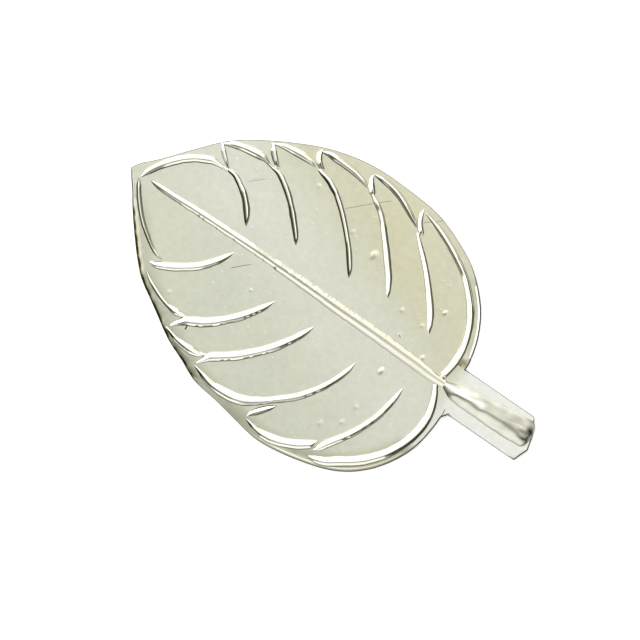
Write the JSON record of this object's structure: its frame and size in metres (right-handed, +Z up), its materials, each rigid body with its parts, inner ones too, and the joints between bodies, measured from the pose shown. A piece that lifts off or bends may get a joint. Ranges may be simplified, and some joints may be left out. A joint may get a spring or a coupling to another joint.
{
  "type": "silver leaf ornament",
  "caption": "Flat pointed basil leaf in sheet silver with a raised midrib, side veins, a scalloped margin line and a short stem tab with a half-round ridge.",
  "frame": {"origin": "under the middle of the leaf's bounding box, on the surface that it lies on", "axes": "+X along the midrib toward the stem, +Z up out of the worked face, +Y across the leaf toward the half that lies to the upper right in the picture"},
  "size_m": [0.0402, 0.0242, 0.0012],
  "materials": {
    "sheet_silver": "pressed sheet silver, satin-bright with fine scratches",
    "silver_wire": "drawn half-round silver wire, bright"
  },
  "bodies": {
    "root": {"blade": "sheet_silver", "midrib": "silver_wire", "upper_vein_1": "silver_wire", "upper_vein_2": "silver_wire", "upper_vein_3": "silver_wire", "upper_vein_4": "silver_wire", "upper_vein_5": "silver_wire", "upper_margin_1": "silver_wire", "upper_margin_2": "silver_wire", "upper_margin_3": "silver_wire", "upper_margin_4": "silver_wire", "upper_margin_5": "silver_wire", "upper_margin_6": "silver_wire", "lower_vein_1": "silver_wire", "lower_vein_2": "silver_wire", "lower_vein_3": "silver_wire", "lower_vein_4": "silver_wire", "lower_vein_5": "silver_wire", "lower_spur_4": "silver_wire", "lower_margin_1": "silver_wire", "lower_margin_2": "silver_wire", "lower_margin_3": "silver_wire", "lower_margin_5": "silver_wire", "lower_margin_6": "silver_wire", "stem_ridge": "silver_wire"}
  },
  "joints": []
}
